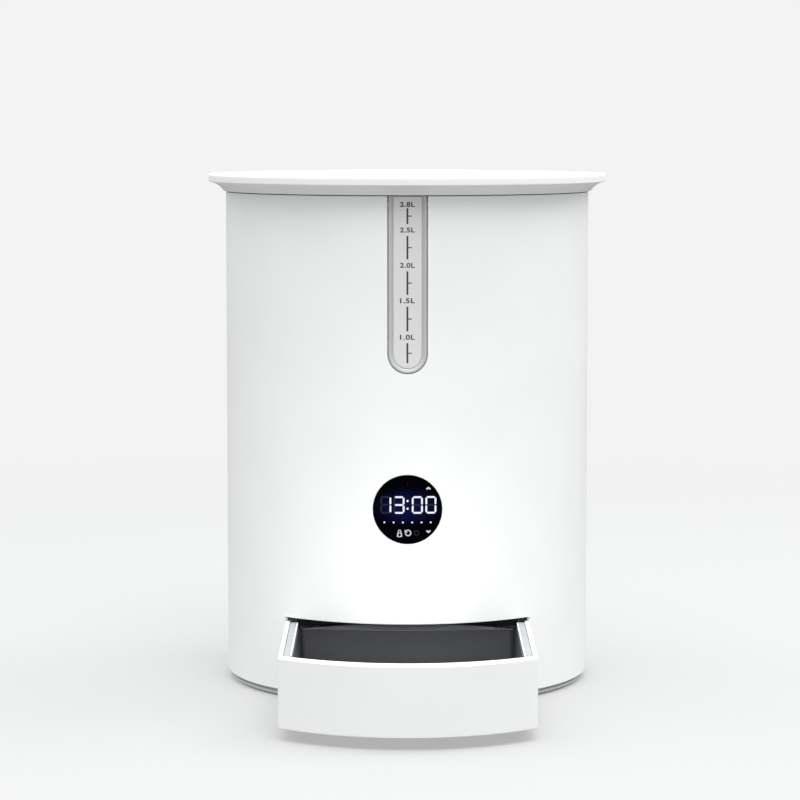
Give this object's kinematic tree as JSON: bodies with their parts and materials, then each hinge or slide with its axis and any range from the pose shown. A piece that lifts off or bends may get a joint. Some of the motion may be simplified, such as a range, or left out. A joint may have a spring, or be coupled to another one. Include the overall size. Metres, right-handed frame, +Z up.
{
  "type": "automatic pet feeder",
  "caption": "Round automatic dry-food feeder: lift-off lid, hopper with a level window, round clock display, motor-driven portion rotor, chute, and a curved-front food drawer.",
  "frame": {"origin": "on the housing's axis, on the surface that the foot ring stands on", "axes": "+Z up, -Y out of the front where the drawer slides, +X to the right as seen from the front"},
  "size_m": [0.23, 0.332, 0.2931],
  "materials": {
    "shell_abs": "satin white moulded ABS",
    "inner_abs": "matt white moulded ABS",
    "hopper_clear": "clear moulded food-grade plastic",
    "frame_grey": "matt grey moulded ABS",
    "pane_grey": "frosted moulded polycarbonate",
    "display_black": "black gloss moulded acrylic",
    "strip_grey": "light grey moulded ABS",
    "bin_black": "dark satin moulded plastic",
    "chute_black": "matt black moulded plastic",
    "base_white": "matt moulded ABS",
    "foot_rubber": "black moulded rubber",
    "seal_silicone": "translucent silicone",
    "sachet_fabric": "non-woven paper fabric",
    "case_grey": "grey moulded acetal",
    "gear_ivory": "natural moulded acetal",
    "encoder_black": "black moulded plastic",
    "steel": "plated steel",
    "brass": "turned brass",
    "board_green": "solder-masked glass fibre board",
    "component_dark": "moulded component cases",
    "cell_jacket": "plain printed cell jacket",
    "cable_jacket": "PVC wire jacket"
  },
  "bodies": {
    "root": {"housing": "shell_abs", "dispenser_chamber": "inner_abs", "outlet_guard": "inner_abs", "hopper": "hopper_clear", "window_frame": "frame_grey", "window_pane": "pane_grey", "display_glass": "display_black", "food_chute": "chute_black", "drawer_bay": "chute_black", "base_plate": "base_white", "foot_ring": "foot_rubber", "wiper_blade": "foot_rubber", "gearcase": "case_grey", "gearcase_cover": "case_grey", "photo_sensor": "encoder_black", "speaker": "encoder_black", "led_module": "encoder_black", "microphone": "encoder_black", "display_screws": "steel", "hopper_screws": "steel", "chamber_screws": "steel", "gearcase_screws": "steel", "motor_screws": "steel", "chute_screws": "steel", "base_screws": "steel", "main_board_screws": "steel", "idler_pin": "steel", "motor": "steel", "motor_gearhead": "steel", "battery_contacts": "steel", "power_inlet": "steel", "shaft_bush": "brass", "touch_springs": "brass", "display_board": "board_green", "main_board": "board_green", "board_components": "component_dark", "batteries": "cell_jacket", "display_cable": "cable_jacket", "motor_cable": "cable_jacket", "rear_cables": "cable_jacket"},
    "lid": {"lid_shell": "shell_abs", "lid_liner": "inner_abs", "lid_seal": "seal_silicone", "lid_screws": "steel", "desiccant_cup": "inner_abs", "desiccant_sachet": "sachet_fabric"},
    "desiccant_cap": {"desiccant_cap": "inner_abs"},
    "rotor": {"rotor": "inner_abs", "rotor_tips": "foot_rubber", "agitator": "inner_abs", "agitator_screw": "steel", "drive_shaft": "steel", "output_gear": "gear_ivory", "encoder_disc": "encoder_black"},
    "idler": {"idler_gear": "gear_ivory"},
    "motor_shaft": {"motor_pinion": "brass"},
    "drawer": {"drawer_shell": "shell_abs", "bin_frame": "strip_grey", "food_bin": "bin_black"},
    "battery_door": {"battery_door": "base_white"}
  },
  "joints": [
    {"name": "lid_lift", "type": "slide", "parent": "root", "child": "lid", "axis": [0, 0, 1], "range_m": [0, 0.08]},
    {"name": "desiccant_cap_turn", "type": "hinge", "parent": "lid", "child": "desiccant_cap", "pos_m": [0, 0, 0.27], "axis": [0, 0, 1], "range_deg": [0, 45]},
    {"name": "drawer_slide", "type": "slide", "parent": "root", "child": "drawer", "axis": [0, -1, 0], "range_m": [0, 0.08]},
    {"name": "rotor_spin", "type": "hinge", "parent": "root", "child": "rotor", "pos_m": [0, 0, 0.13], "axis": [0, 0, 1], "continuous": true},
    {"name": "idler_spin", "type": "hinge", "parent": "root", "child": "idler", "pos_m": [0.01575, 0.02728, 0.103], "axis": [0, 0, 1], "continuous": true},
    {"name": "motor_spin", "type": "hinge", "parent": "root", "child": "motor_shaft", "pos_m": [-0.01125, 0.02728, 0.1], "axis": [0, 0, 1], "continuous": true},
    {"name": "battery_door_hinge", "type": "hinge", "parent": "root", "child": "battery_door", "pos_m": [0, -0.0246, 0.0036], "axis": [1, 0, 0], "range_deg": [-90, 0]}
  ],
  "couplings": [
    {"joint": "idler_spin", "follows": "rotor_spin", "ratio": -3.5},
    {"joint": "motor_spin", "follows": "rotor_spin", "ratio": 12.25}
  ]
}
